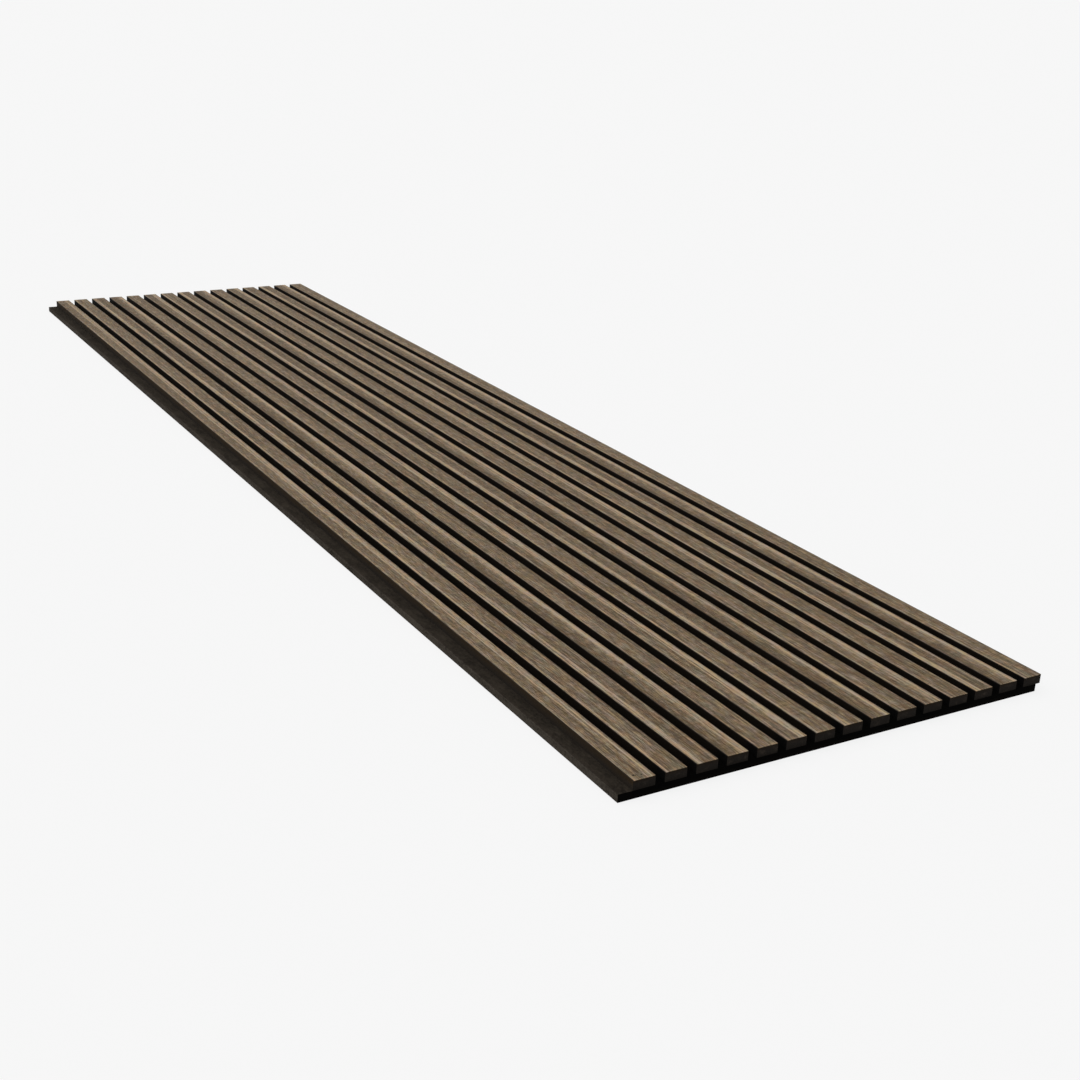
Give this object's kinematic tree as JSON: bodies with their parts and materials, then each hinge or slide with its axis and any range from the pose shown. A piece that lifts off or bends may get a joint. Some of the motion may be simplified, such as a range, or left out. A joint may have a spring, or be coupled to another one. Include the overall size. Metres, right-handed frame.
{
  "type": "acoustic slat wall panel",
  "caption": "Long flat wall panel of parallel wood-veneered slats on a dark felt backing, with a bare lap on one edge and an overhanging slat on the other.",
  "frame": {"origin": "middle of the felt's back face, which goes against the wall", "axes": "+X across the slats from the bare lap to the overhanging slat, +Y along the slats, +Z out of the wall"},
  "size_m": [0.606, 2.4, 0.022],
  "materials": {
    "felt": "needled polyester felt board, charcoal black",
    "black_fibreboard": "black-dyed fibreboard, sawn",
    "smoked_veneer": "smoked walnut veneer, matt lacquer, grain along the slat",
    "staple_wire": "galvanised flat wire"
  },
  "bodies": {
    "root": {"felt_backing": "felt", "slat_core_01": "black_fibreboard", "slat_core_02": "black_fibreboard", "slat_core_03": "black_fibreboard", "slat_core_04": "black_fibreboard", "slat_core_05": "black_fibreboard", "slat_core_06": "black_fibreboard", "slat_core_07": "black_fibreboard", "slat_core_08": "black_fibreboard", "slat_core_09": "black_fibreboard", "slat_core_10": "black_fibreboard", "slat_core_11": "black_fibreboard", "slat_core_12": "black_fibreboard", "slat_core_13": "black_fibreboard", "slat_core_14": "black_fibreboard", "slat_core_15": "black_fibreboard", "veneer_face_01": "smoked_veneer", "veneer_face_02": "smoked_veneer", "veneer_face_03": "smoked_veneer", "veneer_face_04": "smoked_veneer", "veneer_face_05": "smoked_veneer", "veneer_face_06": "smoked_veneer", "veneer_face_07": "smoked_veneer", "veneer_face_08": "smoked_veneer", "veneer_face_09": "smoked_veneer", "veneer_face_10": "smoked_veneer", "veneer_face_11": "smoked_veneer", "veneer_face_12": "smoked_veneer", "veneer_face_13": "smoked_veneer", "veneer_face_14": "smoked_veneer", "veneer_face_15": "smoked_veneer", "staples": "staple_wire"}
  },
  "joints": []
}
